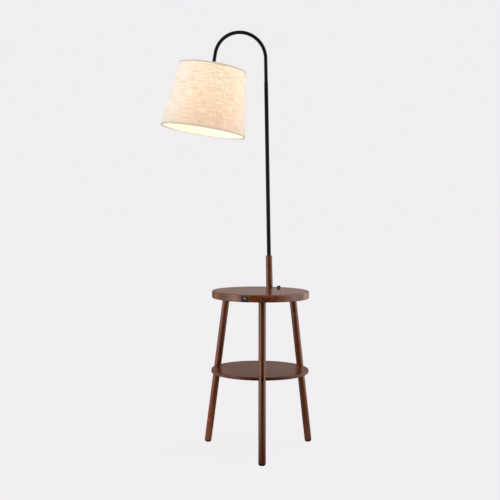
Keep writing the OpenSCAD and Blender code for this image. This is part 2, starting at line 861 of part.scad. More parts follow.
module swivel_pin() {
    color("#a9a7a3") at_arm() difference() {
        union() {
            translate([0, 0, arm_foot - turn_gap - pin_l]) cylinder(d = pin_d, h = pin_l + 2);
            translate([0, 0, arm_foot]) cylinder(d = arm_in - 2 * skin_gap, h = shank_l);
        }
        translate([0, 0, tube_top - pin_l - 5]) cylinder(d = pin_bore, h = pin_l + shank_l + 20);
    }
}

// tapered collar that hides the step between the two tubes
module pole_collar() {
    straight = 2;
    color("#1b191a") at_arm() difference() {
        union() {
            translate([0, 0, arm_foot]) cylinder(d = tube_d, h = straight);
            translate([0, 0, arm_foot + straight])
                cylinder(d1 = tube_d, d2 = arm_d + 2 * collar_lip, h = collar_h - straight);
        }
        translate([0, 0, arm_foot - 1]) cylinder(d = arm_d + 2 * skin_gap, h = collar_h + 2);
    }
}

// a run of round stock along the bent tube, from foot_s on the pole to the tail's end; the
// straight stretches are d across, and the bend is wider by more
module arm_run(d, foot_s, tail, more) {
    at_arm() translate([0, 0, foot_s]) cylinder(d = d, h = arm_rise - foot_s + weld);
    at_arm() translate([-bend_r, 0, arm_rise]) rotate([90, 0, 0])
        rotate_extrude(angle = bend_a) translate([bend_r, 0]) circle(d = d + more);
    at_bend_end() translate([0, 0, -weld]) cylinder(d = d, h = tail + weld);
}

module arc_tube() {
    color("#1b191a") difference() {
        arm_run(arm_d, arm_foot, tail_l, hair);
        arm_run(arm_in, arm_foot - 1, tail_l + 1, -hair);
    }
}

// threaded nipple in the tube's end that carries the lamp holder
module arm_nipple() {
    color("#a9a7a3") at_head() difference() {
        union() {
            cylinder(d = arm_in - 2 * skin_gap, h = nipple_in);
            translate([0, 0, -nipple_l]) cylinder(d = nipple_d, h = nipple_l + 1);
        }
        translate([0, 0, -nipple_l - 1]) cylinder(d = nipple_bore, h = nipple_l + nipple_in + 2);
    }
}

// the same lead from the swivel on through the arc to the lamp holder
module lead_upper() {
    color("#e6e2da") arm_run(lead_d, joint_s - 1 + turn_gap, tail_l + cap_l + shoulder_t, hair);
}

// ---------- lamp holder and bulb ----------

module holder_cap() {
    neck = 16;
    color("#201e1f") at_head() difference() {
        union() {
            translate([0, 0, -6]) cylinder(d = neck, h = 6 - part_gap);
            translate([0, 0, -14]) cylinder(d1 = holder_d, d2 = neck + 6, h = 8);
            translate([0, 0, -cap_l]) cylinder(d = holder_d, h = cap_l - 14);
        }
        translate([0, 0, -cap_l - 1]) cylinder(d = holder_d - 2 * holder_wall, h = cap_l - 13);
        translate([0, 0, -cap_l]) cylinder(d = nipple_d + 2 * skin_gap, h = cap_l + 1);
    }
}

// skirt with a shoulder that the shade's carrier rests against
module holder_skirt() {
    color("#201e1f") at_head() difference() {
        union() {
            translate([0, 0, -cap_l - skirt_l]) cylinder(d = holder_d, h = skirt_l);
            translate([0, 0, carrier_z]) cylinder(d = shoulder_d, h = shoulder_t);
        }
        translate([0, 0, -cap_l - skirt_l - 1])
            cylinder(d = thread_shell_d + 2 * thread_shell_t + 2 * skin_gap, h = skirt_l - 3);
        translate([0, 0, -cap_l - 5]) cylinder(d = lead_d + 1, h = 6, $fn = 24);
    }
}

// thin threaded sleeve that takes the bulb, with its centre contact
module holder_shell() {
    z1 = -cap_l - 4 - part_gap;
    color("#c2b280") at_head() difference() {
        translate([0, 0, z1 - 26]) cylinder(d = thread_shell_d + 2 * thread_shell_t, h = 26);
        translate([0, 0, z1 - 27]) cylinder(d = thread_shell_d, h = 26);
    }
}

// ring nut that clamps the carrier against the shoulder
module shade_nut() {
    z1 = carrier_z - carrier_t - skin_gap;
    color("#201e1f") at_head() difference() {
        translate([0, 0, z1 - ring_nut_h]) cylinder(d = ring_nut_d, h = ring_nut_h);
        translate([0, 0, z1 - ring_nut_h - 1])
            cylinder(d = holder_d + 2 * skin_gap, h = ring_nut_h + 2);
        for (i = [0 : 23]) rotate(i * 15) translate([ring_nut_d / 2 + 0.8, 0, z1 - ring_nut_h - 1])
            cylinder(d = 4, h = ring_nut_h - 1, $fn = 24);
    }
}

// wire carrier: upper ring, sloping arms and centre washer, welded together
module shade_carrier() {
    ring_r = shade_r(ring_down) - stack_t + wire_d / 2 + skin_gap;
    hub_r = carrier_out_d / 2 - wire_d / 2;
    z_hub = carrier_z - carrier_t / 2;
    z_ring = rim_drop - ring_down;
    arm = [ring_r - hub_r, z_ring - z_hub];
    color("#d9d6d0") at_head() {
        translate([0, 0, rim_drop]) wire_ring(ring_down);
        pipe(carrier_out_d, carrier_in_d, carrier_z - carrier_t, carrier_z);
        for (i = [0 : carrier_arms - 1]) rotate(i * 360 / carrier_arms)
            translate([hub_r, 0, z_hub]) rotate([0, 90 - atan2(arm[1], arm[0]), 0])
            cylinder(d = arm_wire_d, h = norm(arm), $fn = 36);
    }
}

module shade_lower_ring() {
    color("#d9d6d0") at_rim() wire_ring(bottom_ring_down);
}

// a tapered skin from the upper rim to the lower one, inset from the linen's outside
module shade_skin(inset, wall) {
    r0 = shade_top_d / 2 - inset;
    r1 = shade_bottom_d / 2 - inset;
    over = 1;
    grow = shade_slope * over;
    at_rim() translate([0, 0, -shade_h]) difference() {
        cylinder(r1 = r1, r2 = r0, h = shade_h);
        translate([0, 0, -over])
            cylinder(r1 = r1 - wall + grow, r2 = r0 - wall - grow, h = shade_h + 2 * over);
    }
}

module shade_linen() {
    color("#efd9bd") shade_skin(0, linen_t);
}

module shade_liner() {
    color("#fbf4e2") shade_skin(linen_t + skin_gap, liner_t);
}

// folded tape over a rim; down is the rim's place, way is +1 where it folds downwards
module edge_tape(down, way) {
    function place(d, out) = [shade_r(down + way * d) + out, -down - way * d];
    inner = -stack_t - skin_gap;
    at_rim() rotate_extrude() polygon([
        place(-tape_t, tape_t + skin_gap), place(tape_h, tape_t + skin_gap),
        place(tape_h, skin_gap), place(-skin_gap, skin_gap),
        place(-skin_gap, inner), place(tape_in_h, inner),
        place(tape_in_h, inner - tape_t), place(-tape_t, inner - tape_t)
    ]);
}

// the upper tape is notched inside for the carrier's arms
module shade_edge_top() {
    notch_w = arm_wire_d + 2 * flush_gap;
    color("#d8c9b4") difference() {
        edge_tape(0, 1);
        at_rim() for (i = [0 : carrier_arms - 1]) rotate(i * 360 / carrier_arms)
            translate([shade_r(0) - stack_t - 2, -notch_w / 2, -tape_in_h - 1])
            cube([4, notch_w, tape_in_h + 1 - flush_gap]);
    }
}

module shade_edge_bottom() {
    color("#d8c9b4") edge_tape(shade_h, -1);
}

bulb_top = -cap_l - 4 - part_gap - 1 - bulb_seat;
holder_mouth = -cap_l - skirt_l;
bulb_neck_l = 30;
bulb_foot = holder_mouth - 2 - bulb_neck_l;

module bulb_cap() {
    color("#b9b9ba") at_head() {
        translate([0, 0, holder_mouth - 2]) cylinder(d = bulb_cap_d, h = bulb_top - holder_mouth + 2);
        translate([0, 0, bulb_top - 0.5]) cylinder(d1 = 18, d2 = 9, h = 3);
        translate([0, 0, bulb_top + 2]) cylinder(d = 9, h = bulb_seat - 2);
    }
}

// finned body of the bulb, widening to the globe
module bulb_body() {
    globe_z = holder_mouth - bulb_l + globe_d / 2;
    foot_d = 2 * sqrt(pow(globe_d / 2, 2) - pow(bulb_foot - globe_z, 2));
    color("#e9e6e0") at_head() translate([0, 0, bulb_foot])
        cylinder(d1 = foot_d, d2 = bulb_cap_d + 4, h = bulb_neck_l);
}

// hollow opal globe, open where it sits on the bulb's body
module bulb_globe() {
    r = globe_d / 2;
    wall = 1.2;
    end = holder_mouth - bulb_l;
    color("#fff6dd") at_head() intersection() {
        translate([0, 0, end + r]) difference() {
            sphere(r = r, $fn = 72);
            sphere(r = r - wall, $fn = 72);
        }
        translate([0, 0, end - 1]) cylinder(d = globe_d + 2, h = bulb_foot - end + 1);
    }
}

tabletop();
shelf();
leg_front();
leg_left();
leg_right();
foot_front();
foot_left();
foot_right();
top_bolts();
leg_inserts();
shelf_bolts();
shelf_inserts();
bottom_cover();
cover_screws();
cord_gland();
terminal_block();
usb_bezel();
usb_port();
usb_tongue();
usb_board();
usb_converter();
usb_lead();
dimmer_body();
dimmer_nut();
dimmer_lead();
dimmer_shaft();
dimmer_knob();
stem();
stem_rod();
rod_nut();
rod_washer();
lower_tube();
tube_plug();
swivel_bush();
lead_lower();
swivel_pin();
pole_collar();
arc_tube();
arm_nipple();
lead_upper();
holder_cap();
holder_skirt();
holder_shell();
shade_nut();
shade_carrier();
shade_lower_ring();
shade_linen();
shade_liner();
shade_edge_top();
shade_edge_bottom();
bulb_cap();
bulb_body();
bulb_globe();
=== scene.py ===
import math

import bmesh
import bpy
from mathutils import Matrix, Vector


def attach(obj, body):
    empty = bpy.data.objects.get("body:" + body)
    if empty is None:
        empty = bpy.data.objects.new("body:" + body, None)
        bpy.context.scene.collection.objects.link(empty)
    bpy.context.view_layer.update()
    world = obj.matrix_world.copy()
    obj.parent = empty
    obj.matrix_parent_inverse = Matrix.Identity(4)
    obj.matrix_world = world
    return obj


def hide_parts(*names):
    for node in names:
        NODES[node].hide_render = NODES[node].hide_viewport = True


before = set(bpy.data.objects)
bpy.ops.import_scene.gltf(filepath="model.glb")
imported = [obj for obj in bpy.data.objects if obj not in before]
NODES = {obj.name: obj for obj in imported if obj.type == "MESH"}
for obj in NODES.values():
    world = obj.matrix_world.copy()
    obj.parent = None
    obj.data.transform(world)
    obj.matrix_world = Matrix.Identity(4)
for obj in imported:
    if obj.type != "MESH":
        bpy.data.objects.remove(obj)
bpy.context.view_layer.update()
scene = bpy.context.scene
MM = 0.001


# ---------- camera, solved from the photograph ----------

SENSOR_WIDTH = 36.0
LENS = 65.82
CAMERA_AT = Vector((-0.15717, -3.56672, 0.95379))
CAMERA_RIGHT = Vector((0.99946842, -0.03185811, 0.00692393))
CAMERA_UP = Vector((-0.00541475, 0.04721684, 0.99886999))
CAMERA_AHEAD = Vector((0.03214904, 0.9983765, -0.04701923))
FURTHEST_SEEN = 100.0


def make_camera():
    data = bpy.data.cameras.new("camera")
    data.sensor_width = SENSOR_WIDTH
    data.lens = LENS
    data.clip_end = FURTHEST_SEEN
    cam = bpy.data.objects.new("camera", data)
    scene.collection.objects.link(cam)
    m = Matrix((CAMERA_RIGHT, CAMERA_UP, -CAMERA_AHEAD)).transposed().to_4x4()
    m.translation = CAMERA_AT
    cam.matrix_world = m
    scene.camera = cam


make_camera()
scene.view_settings.view_transform = "Standard"


# ---------- small helpers for shaders ----------

class Tree:
    """Short calls for building a node tree. Each gives back an output socket, or several."""

    def __init__(self, tree):
        self.t = tree
        self.t.nodes.clear()

    def node(self, kind, **props):
        n = self.t.nodes.new(kind)
        for key, value in props.items():
            setattr(n, key, value)
        return n

    def put(self, socket, value):
        """Links an output to a socket, or sets the socket's own value. A colour gets alpha 1."""
        if isinstance(value, bpy.types.NodeSocket):
            self.t.links.new(value, socket)
            return
        if hasattr(value, "__len__") and len(value) == 3 and len(socket.default_value) == 4:
            value = (*value, 1.0)
        socket.default_value = value

    def coords(self, name="Object"):
        return self.node("ShaderNodeTexCoord").outputs[name]

    def mapping(self, vector, location=(0, 0, 0), rotation=(0, 0, 0), scale=(1, 1, 1)):
        n = self.node("ShaderNodeMapping")
        self.put(n.inputs["Vector"], vector)
        n.inputs["Location"].default_value = location
        n.inputs["Rotation"].default_value = rotation
        n.inputs["Scale"].default_value = scale
        return n.outputs[0]

    def noise(self, vector, scale, detail=3.0, rough=0.5, distortion=0.0):
        n = self.node("ShaderNodeTexNoise")
        self.put(n.inputs["Vector"], vector)
        n.inputs["Scale"].default_value = scale
        n.inputs["Detail"].default_value = detail
        n.inputs["Roughness"].default_value = rough
        n.inputs["Distortion"].default_value = distortion
        return n.outputs["Fac"]

    def wave(self, vector, scale, distortion, detail, direction):
        n = self.node("ShaderNodeTexWave", bands_direction=direction, wave_profile="SIN")
        self.put(n.inputs["Vector"], vector)
        n.inputs["Scale"].default_value = scale
        n.inputs["Distortion"].default_value = distortion
        n.inputs["Detail"].default_value = detail
        return n.outputs["Fac"]

    def math(self, op, *values):
        n = self.node("ShaderNodeMath", operation=op)
        for socket, value in zip(n.inputs, values):
            self.put(socket, value)
        return n.outputs[0]

    def add(self, first, *others):
        for other in others:
            first = self.math("ADD", first, other)
        return first

    def sub(self, a, b):
        return self.math("SUBTRACT", a, b)

    def mul(self, a, b):
        return self.math("MULTIPLY", a, b)

    def length(self, x, y):
        return self.math("SQRT", self.add(self.mul(x, x), self.mul(y, y)))

    def remap(self, value, lo, hi, to_lo=0.0, to_hi=1.0, smooth=False):
        kind = "SMOOTHSTEP" if smooth else "LINEAR"
        n = self.node("ShaderNodeMapRange", interpolation_type=kind)
        self.put(n.inputs["Value"], value)
        n.inputs["From Min"].default_value = lo
        n.inputs["From Max"].default_value = hi
        n.inputs["To Min"].default_value = to_lo
        n.inputs["To Max"].default_value = to_hi
        return n.outputs["Result"]

    def ramp(self, value, stops):
        n = self.node("ShaderNodeValToRGB")
        self.put(n.inputs["Fac"], value)
        points = n.color_ramp.elements
        while len(points) < len(stops):
            points.new(0.5)
        for point, (place, colour) in zip(points, stops):
            point.position = place
            point.color = (*colour, 1.0)
        return n.outputs["Color"]

    def mix(self, fac, a, b, blend="MIX"):
        n = self.node("ShaderNodeMix", data_type="RGBA", blend_type=blend)
        self.put(n.inputs[0], fac)
        self.put(n.inputs[6], a)
        self.put(n.inputs[7], b)
        return n.outputs[2]

    def dimmed(self, colour, level):
        """A colour times a level that varies over the surface."""
        return self.mix(1.0, colour, self.join(level, level, level), "MULTIPLY")

    def bump(self, height, strength, distance=0.0001):
        n = self.node("ShaderNodeBump")
        self.put(n.inputs["Height"], height)
        n.inputs["Strength"].default_value = strength
        n.inputs["Distance"].default_value = distance
        return n.outputs[0]

    def split(self, vector):
        n = self.node("ShaderNodeSeparateXYZ")
        self.put(n.inputs[0], vector)
        return n.outputs

    def join(self, x, y, z):
        n = self.node("ShaderNodeCombineXYZ")
        for i, v in enumerate((x, y, z)):
            self.put(n.inputs[i], v)
        return n.outputs[0]

    def principled(self, **sockets):
        """Ends the tree in a Principled shader with these sockets."""
        n = self.node("ShaderNodeBsdfPrincipled")
        for name, value in sockets.items():
            self.put(n.inputs[name.replace("_", " ")], value)
        self.output(n.outputs[0])

    def output(self, shader):
        n = self.node("ShaderNodeOutputMaterial")
        self.t.links.new(shader, n.inputs["Surface"])


def material(name):
    mat = bpy.data.materials.new(name)
    mat.use_nodes = True
    return mat, Tree(mat.node_tree)


def lin(r, g, b):
    """An sRGB colour of 0 to 255 as linear numbers."""
    def one(c):
        c /= 255.0
        return c / 12.92 if c <= 0.04045 else ((c + 0.055) / 1.055) ** 2.4
    return one(r), one(g), one(b)


def times(colour, factor):
    """A colour made darker or lighter, up to white."""
    return [min(1.0, c * factor) for c in colour]


# ---------- wood ----------

# from the dark late wood to the palest: the place in the mixed grain, and the colour there
STAIN = [(0.28, (0.090, 0.016, 0.003)), (0.46, (0.185, 0.041, 0.008)),
         (0.60, (0.260, 0.064, 0.014)), (0.80, (0.360, 0.106, 0.028))]
SATIN = 0.21
# how far the warp carries the figure sideways, in metres
WARP = 0.055


def wood(name, turn=(0, 0, 0), shift=(0, 0, 0), tone=1.0, fine=1.0, coat=1.0):
    """Walnut-stained wood under satin lacquer. Its grain runs along X after the turn. shift picks
    another part of the figure, tone lightens the stain, and fine narrows the figure."""
    mat, t = material(name)
    at = t.mapping(t.coords(), rotation=turn)
    at = t.mapping(at, location=shift)
    # slow drift of the stain, then the broad figure, its rings, the fine fibres and the pores
    drift = t.noise(t.mapping(at, scale=(3, 9, 9)), 1.0, 2.0, 0.5)
    warp = t.noise(t.mapping(at, scale=(2.2, 5, 5)), 1.0, 2.0, 0.6, 0.4)
    x, y, z = t.split(at)
    bent = t.join(x, t.add(y, t.mul(warp, WARP)), z)
    figure = t.noise(t.mapping(bent, scale=(2.4, 95 * fine, 70 * fine)), 1.0, 4.0, 0.62, 0.6)
    rings = t.wave(t.mapping(bent, scale=(0.4, 13 * fine, 6 * fine)), 3.2, 3.5, 3.0, "Y")
    fibre = t.noise(t.mapping(at, scale=(14, 900, 900)), 1.0, 3.0, 0.65)
    pores = t.noise(t.mapping(at, scale=(60, 1500, 1500)), 1.0, 1.0, 0.5)
    band = t.noise(t.mapping(bent, scale=(1.6, 20, 24)), 1.0, 3.0, 0.65)
    mixed = t.add(t.mul(figure, 0.62), t.mul(rings, 0.16), t.mul(fibre, 0.24),
                  t.mul(t.sub(drift, 0.5), 0.30), t.mul(t.sub(band, 0.5), 0.70))
    stain = [(place, times(colour, tone)) for place, colour in STAIN]
    colour = t.ramp(mixed, stain)
    pore = t.remap(pores, 0.33, 0.42, 1.0, 0.0, smooth=True)
    colour = t.mix(t.mul(pore, 0.5), colour, times(stain[0][1], 0.35))
    height = t.sub(t.mul(fibre, 0.35), t.mul(pore, 0.6))
    t.principled(
        Base_Color=colour, Roughness=t.remap(mixed, 0.3, 0.8, SATIN + 0.12, SATIN - 0.04),
        IOR=1.5, Specular_IOR_Level=0.2, Normal=t.bump(height, 0.10, 0.0002),
        Coat_Weight=coat, Coat_Roughness=0.10, Coat_IOR=1.5)
    return mat


# ---------- plain finishes, each with the wear and texture of the real one ----------

def powder_coat(name, colour, rough, ior=1.5):
    """Satin powder coat with its fine orange peel and faint handling marks."""
    mat, t = material(name)
    at = t.coords()
    peel = t.noise(at, 1400.0, 2.0, 0.5)
    smear = t.noise(t.mapping(at, scale=(40, 40, 9)), 1.0, 3.0, 0.55)
    t.principled(
        Base_Color=t.mix(smear, times(colour, 0.8), times(colour, 1.25)),
        Roughness=t.remap(smear, 0.3, 0.7, rough - 0.05, rough + 0.06), IOR=ior,
        Normal=t.bump(peel, 0.12))
    return mat


def plastic(name, colour, rough):
    """Moulded plastic with a spark-eroded texture."""
    mat, t = material(name)
    at = t.coords()
    texture = t.noise(at, 2200.0, 2.0, 0.6)
    cloud = t.noise(at, 35.0, 3.0, 0.5)
    t.principled(
        Base_Color=t.mix(cloud, times(colour, 0.88), times(colour, 1.1)),
        Roughness=t.remap(cloud, 0.3, 0.7, rough - 0.05, rough + 0.05), IOR=1.46,
        Normal=t.bump(texture, 0.10))
    return mat


def metal(name, colour, rough, along=(300, 300, 8)):
    """Drawn or turned metal with its fine machining lines. along is their density on each axis."""
    mat, t = material(name)
    at = t.coords()
    lines = t.noise(t.mapping(at, scale=along), 6.0, 3.0, 0.6)
    stain = t.noise(at, 60.0, 3.0, 0.55)
    t.principled(
        Base_Color=t.mix(stain, times(colour, 0.82), colour), Metallic=1.0,
        Roughness=t.remap(lines, 0.3, 0.7, rough - 0.06, rough + 0.08),
        Normal=t.bump(lines, 0.08))
    return mat


# the legs' directions round the table, in degrees from +X
LEG_FRONT, LEG_LEFT, LEG_RIGHT = -90, 150, 30


def bolt_paint_and_socket_shade(name, colour, core, heads_z):
    """Brown paint on the bolt heads, with painted shade within core of their axes: a dark disc
    over each socket and round it, for the shade in its recess. The heads face out from the three
    legs at the height heads_z."""
    mat, t = material(name)
    at = t.coords()
    x, y, z = t.split(at)
    off = None
    for leg in (LEG_FRONT, LEG_LEFT, LEG_RIGHT):
        a = math.radians(leg)
        across = t.add(t.mul(x, -math.sin(a)), t.mul(y, math.cos(a)))
        r = t.length(across, t.sub(z, heads_z))
        off = r if off is None else t.math("MINIMUM", off, r)
    # painted shade: a dark disc over each socket, wider than the socket, for the shade in its
    # recess
    inside = t.remap(off, core - 0.0004, core + 0.0002, 1.0, 0.0, smooth=True)
    scratch = t.noise(at, 500.0, 3.0, 0.6)
    tint = t.mix(scratch, times(colour, 0.8), times(colour, 1.2))
    t.principled(
        # the near-black colour of the painted socket shade
        Base_Color=t.mix(inside, tint, lin(22, 5, 4)), IOR=1.45,
        Roughness=t.remap(inside, 0.0, 1.0, 0.30, 0.7), Normal=t.bump(scratch, 0.08))
    return mat


def rubber(name):
    """Dark rubber with dust in its grain."""
    mat, t = material(name)
    at = t.coords()
    grain = t.noise(at, 900.0, 3.0, 0.6)
    dust = t.noise(at, 70.0, 4.0, 0.6)
    t.principled(
        Base_Color=t.mix(t.remap(dust, 0.45, 0.75), lin(40, 34, 31), lin(60, 52, 47)),
        Roughness=0.75, IOR=1.5, Normal=t.bump(grain, 0.25, 0.0002))
    return mat


def circuit_board(name):
    """Green board with fine tracks."""
    mat, t = material(name)
    tracks = t.wave(t.coords(), 400.0, 0.6, 2.0, "DIAGONAL")
    t.principled(
        Base_Color=t.ramp(tracks, [(0.45, lin(24, 84, 52)), (0.60, lin(40, 112, 70))]),
        Roughness=0.35, IOR=1.5, Normal=t.bump(tracks, 0.1))
    return mat


def liner_white(name):
    """Smooth white lining film with a faint grain, lit from the bulb."""
    mat, t = material(name)
    at = t.coords()
    cloud = t.noise(at, 22.0, 3.0, 0.5)
    grain = t.noise(at, 900.0, 2.0, 0.5)
    t.principled(
        Base_Color=t.mix(cloud, (0.86, 0.80, 0.68), (0.92, 0.88, 0.78)), Roughness=0.5,
        IOR=1.45, Normal=t.bump(grain, 0.05), Emission_Color=(1.0, 0.90, 0.81),
        Emission_Strength=0.42)
    return mat


def bulb_opal(name):
    """Lit opal glass."""
    mat, t = material(name)
    cloud = t.noise(t.coords(), 30.0, 2.0, 0.5)
    t.principled(
        Base_Color=t.mix(cloud, (0.93, 0.90, 0.82), (0.97, 0.95, 0.90)), Roughness=0.35,
        IOR=1.45, Emission_Color=(1.0, 0.86, 0.66), Emission_Strength=3.5)
    return mat


# ---------- linen ----------

# place of the shade's seam round its axis: 0 faces left in the photograph, 90 the camera
SEAM = math.radians(-112)
TOP_R, LOW_R, SHADE_H = 0.134, 0.170, 0.258
# how far the yarns wander from their straight line, in metres
WANDER = 0.0012
# the height of the lower band of the shade that the bulb lights less, in metres
DIM_BAND = 0.10
# what a thin and a thick yarn do to the colour of the light from inside
YARN_HUE = [(0.38, (1.0, 1.0, 0.97)), (0.62, (0.95, 0.895, 0.78))]


def linen(name, base, glow, white, glow_low, glow_high, radius, pitch=0.0011, deep=1.0):
    """Plain-woven slubby linen that glows from inside. U runs round the shade from its seam, at
    the mean radius given, and V up it, both in metres. glow gives the colour by height, white
    that of a painted white highlight on the sides that face left and right, and glow_low and
    glow_high the strength behind thick and thin yarns."""
    mat, t = material(name)
    u, v, _ = t.split(t.coords("UV"))
    wobble = t.noise(t.join(t.mul(u, 60.0), t.mul(v, 60.0), 0.0), 1.0, 2.0)
    vv = t.add(v, t.mul(wobble, WANDER))
    uu = t.add(u, t.mul(wobble, WANDER))
    k = math.tau / pitch
    weave = t.mul(t.math("SINE", t.mul(vv, k)), t.math("SINE", t.mul(uu, k)))

    def yarns(along, across, seed):
        return t.noise(t.join(t.mul(u, along), t.mul(v, across), seed), 1.0, 2.0, 0.45)

    # thick and thin yarns: long streaks round the shade, shorter ones up it
    slub_u = yarns(19.0, 260.0, 3.0)
    slub_v = yarns(250.0, 26.0, 9.0)
    cloud = yarns(22.0, 26.0, 5.0)
    thick = t.add(t.mul(slub_u, 0.60), t.mul(slub_v, 0.40))
    dense = t.add(t.mul(thick, 0.94), t.mul(cloud, 0.06))
    yarn = t.remap(dense, 0.38, 0.60, 0.0, 1.0, smooth=True)
    # painted side light: where the cloth faces left or right of the camera, a painted white
    # highlight is mixed into its glow, and the glow is dimmed a bit there
    left = t.math("COSINE", t.add(t.math("DIVIDE", u, radius), SEAM))
    side = t.math("MAXIMUM", left, t.mul(left, -0.8))
    side = t.remap(side, 0.40, 1.0, 0.0, 1.0, smooth=True)
    tint = t.mix(yarn, times(base, 0.86), base)
    tint = t.mix(t.mul(t.remap(weave, -1.0, 1.0), 0.16), tint, times(base, 0.78))
    # a thick yarn holds back the light from inside
    through = t.remap(dense, 0.36, 0.64, glow_high, glow_low)
    # painted falloff: the glow is dimmed on the sides that face left and right
    strength = t.mul(through, t.remap(side, 0.0, 1.0, 1.0, 0.84))
    strength = t.mul(strength, t.remap(v, 0.0, DIM_BAND, 0.86, 1.0, smooth=True))
    # painted white highlight: the glow turns towards white on those sides
    hue = t.mix(side, t.ramp(t.math("DIVIDE", v, SHADE_H), glow), white)
    hue = t.mix(1.0, hue, t.ramp(dense, YARN_HUE), "MULTIPLY")
    height = t.add(t.mul(weave, 0.5), t.mul(thick, 1.6))
    t.principled(
        Base_Color=tint, Roughness=0.85, IOR=1.4, Normal=t.bump(height, 0.35 * deep, 0.0004),
        Sheen_Weight=0.25, Sheen_Roughness=0.5, Emission_Color=t.dimmed(hue, strength),
        Emission_Strength=1.0)
    return mat


# ---------- the CAD nodes' materials ----------

SPLAY = math.radians(8.0)


def dress(mat, *nodes):
    """Gives CAD nodes or pieces their material."""
    for n in nodes:
        o = NODES[n] if isinstance(n, str) else n
        o.data.materials.clear()
        o.data.materials.append(mat)


def leg_turn(angle):
    """Turns a leg's own direction on to X, for its grain."""
    a = math.radians(angle)
    out = math.sin(SPLAY)
    axis = Vector((-out * math.cos(a), -out * math.sin(a), math.cos(SPLAY)))
    return axis.rotation_difference(Vector((1, 0, 0))).to_euler()


# turns Z on to X, for the stem's grain
upright = (0, math.radians(90), 0)
dress(wood("walnut top", shift=(0.3, 0.11, 0.05)), "tabletop")
dress(wood("walnut shelf", shift=(1.7, 0.52, 0.31), tone=0.72, coat=0.42), "shelf")
for node, turn, shift, tone in (
        ("leg_front", leg_turn(LEG_FRONT), (0.4, 0.2, 0.7), 0.76),
        ("leg_left", leg_turn(LEG_LEFT), (2.1, 0.9, 0.3), 1.35),
        ("leg_right", leg_turn(LEG_RIGHT), (3.3, 1.5, 1.1), 1.0),
        ("stem", upright, (5.2, 0.6, 0.9), 0.96)):
    dress(wood("walnut " + node.replace("_", " "), turn, shift, tone, fine=1.6), node)
dress(rubber("foot rubber"), "foot_front", "foot_left", "foot_right")
dress(bolt_paint_and_socket_shade("top bolt paint and painted socket shade", lin(128, 74, 58), 0.0042, 0.613), "top_bolts")
dress(bolt_paint_and_socket_shade("shelf bolt paint and painted socket shade", lin(96, 52, 40), 0.0036, 0.313), "shelf_bolts")
dress(metal("brass", (0.72, 0.52, 0.24), 0.28), "leg_inserts", "shelf_inserts", "holder_shell")
dress(plastic("black plastic", lin(24, 23, 24), 0.5),
      "bottom_cover", "cord_gland", "usb_bezel", "dimmer_body", "dimmer_knob", "usb_converter")
dress(plastic("holder plastic", lin(28, 27, 28), 0.28),
      "holder_cap", "holder_skirt", "shade_nut")
dress(plastic("terminal plastic", lin(226, 221, 208), 0.45), "terminal_block")
dress(metal("nickel", (0.66, 0.66, 0.67), 0.24),
      "usb_port", "dimmer_shaft", "dimmer_nut", "cover_screws")
dress(plastic("tongue plastic", lin(238, 236, 230), 0.4), "usb_tongue")
dress(circuit_board("circuit board"), "usb_board")
dress(plastic("lead sheath", lin(224, 220, 212), 0.5),
      "usb_lead", "dimmer_lead", "lead_lower", "lead_upper")
dress(metal("zinc", (0.60, 0.60, 0.62), 0.32),
      "stem_rod", "rod_nut", "rod_washer", "tube_plug", "swivel_pin", "arm_nipple")
dress(powder_coat("black powder coat", lin(13, 11, 14), 0.5, 1.33),
      "lower_tube", "arc_tube", "pole_collar")
dress(plastic("bush nylon", lin(30, 29, 30), 0.5), "swivel_bush")
dress(powder_coat("white wire paint", lin(226, 222, 214), 0.4),
      "shade_carrier", "shade_lower_ring")
dress(liner_white("shade lining"), "shade_liner")
dress(metal("bulb cap metal", (0.74, 0.74, 0.75), 0.3, (8, 8, 900)), "bulb_cap")
dress(plastic("bulb white", lin(232, 230, 225), 0.35), "bulb_body")
dress(bulb_opal("bulb opal"), "bulb_globe")


# ---------- the shade's frame: from the lamp's own sizes ----------

LEAN = math.radians(1.4)
TURN = math.radians(7.5)
BEND = math.radians(169.8)
# the stem's foot on the tabletop, in millimetres
STEM_OUT, STEM_AT, TABLE_Z = 151, math.radians(73.5), 627.0
# the arc's radius, the height of its start above the table, the straight end after it, and how
# far above that end the shade's upper rim lies
ARC_R, ARC_START, ARC_END, RIM_ABOVE = 0.103, 0.925, 0.066, 0.009


def turn_y(angle):
    return Matrix.Rotation(angle, 4, "Y")


def move(x, z):
    return Matrix.Translation(Vector((x, 0, z)))


stem_foot = Vector((STEM_OUT * math.cos(STEM_AT), STEM_OUT * math.sin(STEM_AT), TABLE_Z)) * MM
arm = Matrix.Translation(stem_foot) @ turn_y(-LEAN) @ Matrix.Rotation(TURN, 4, "Z")
bend_end = arm @ move(-ARC_R, ARC_START) @ turn_y(-BEND) @ move(ARC_R, 0)
head = bend_end @ move(0, ARC_END) @ Matrix.Rotation(math.pi, 4, "X")
# the centre of the shade's upper rim, with Z up the shade's axis
rim = head @ move(0, RIM_ABOVE)

SLANT = math.hypot(LOW_R - TOP_R, SHADE_H)


def shade_r(down):
    """The shade's outer radius that far below its upper rim."""
    return TOP_R + (LOW_R - TOP_R) * down / SHADE_H


# ---------- the shade's cloth ----------

AROUND = 288


def new_piece(name, bm, body):
    """Makes a smooth-shaded piece of bm that rides on a body."""
    mesh = bpy.data.meshes.new(name)
    bm.to_mesh(mesh)
    bm.free()
    for p in mesh.polygons:
        p.use_smooth = True
    o = bpy.data.objects.new(name, mesh)
    scene.collection.objects.link(o)
    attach(o, body)
    return o


def ripple(a, b):
    """A small even unevenness for cloth, of about -1 to 1."""
    waves = (math.sin(7 * a + 3 * b), math.sin(13 * a - 11 * b + 1.3),
             math.sin(23 * a + 17 * b + 0.4))
    return sum(waves) / len(waves)


def angle_at(i):
    """The direction of step i round the shade, counted from its seam."""
    return SEAM + math.tau * i / AROUND


def on_shade(r, a, down):
    """The point at radius r and angle a, that far below the upper rim."""
    return rim @ Vector((r * math.cos(a), r * math.sin(a), -down))


